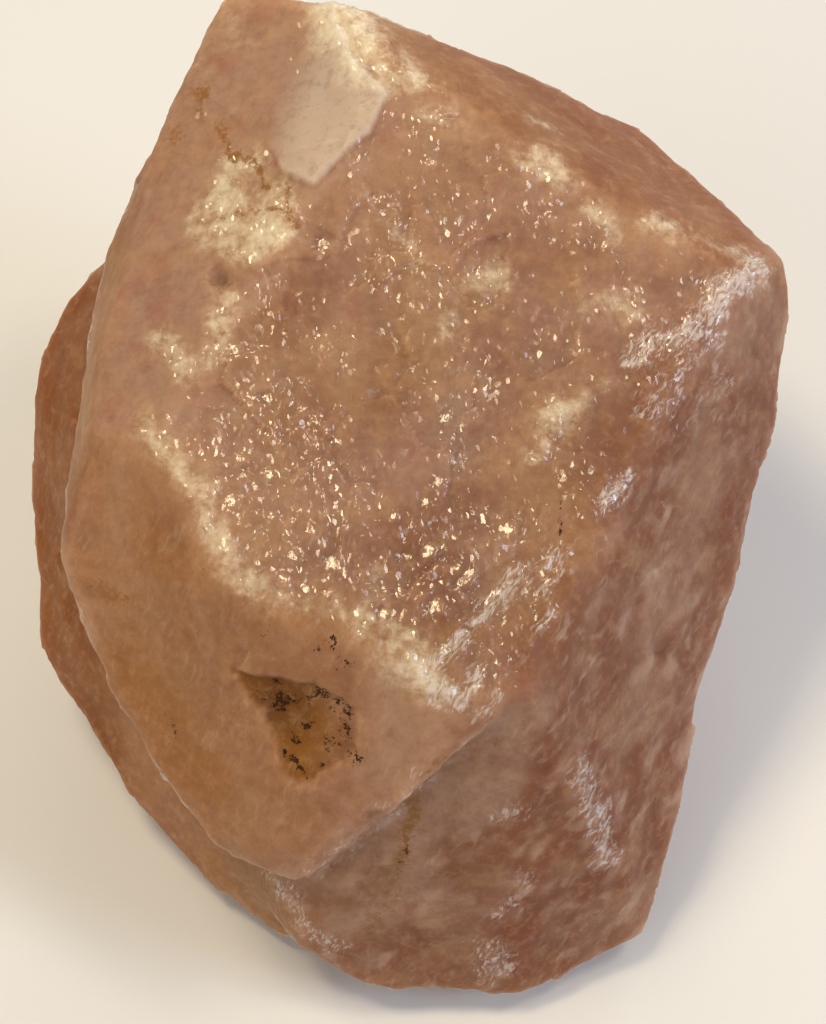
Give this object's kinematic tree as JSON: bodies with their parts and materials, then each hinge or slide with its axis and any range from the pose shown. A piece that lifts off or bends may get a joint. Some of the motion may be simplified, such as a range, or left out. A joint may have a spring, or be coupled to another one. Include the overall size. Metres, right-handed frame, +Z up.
{
  "type": "rose quartz chunk",
  "caption": "Rough fist-sized chunk of milky rose quartz with broken facets, iron-stained hollows and a flat fracture to rest on; a mineral specimen or ornament.",
  "frame": {"origin": "on the surface that the stone rests on, under the middle of its bounding box", "axes": "+Z up from the flat resting fracture, the stone's shortest extent; +Y along its longest extent, towards the crest, with the broad glittering face turned to -Y and up; +X along its width"},
  "size_m": [0.079, 0.0884, 0.0638],
  "materials": {
    "rose_quartz": "satin"
  },
  "bodies": {
    "root": {"rose_quartz_chunk": "rose_quartz"}
  },
  "joints": []
}
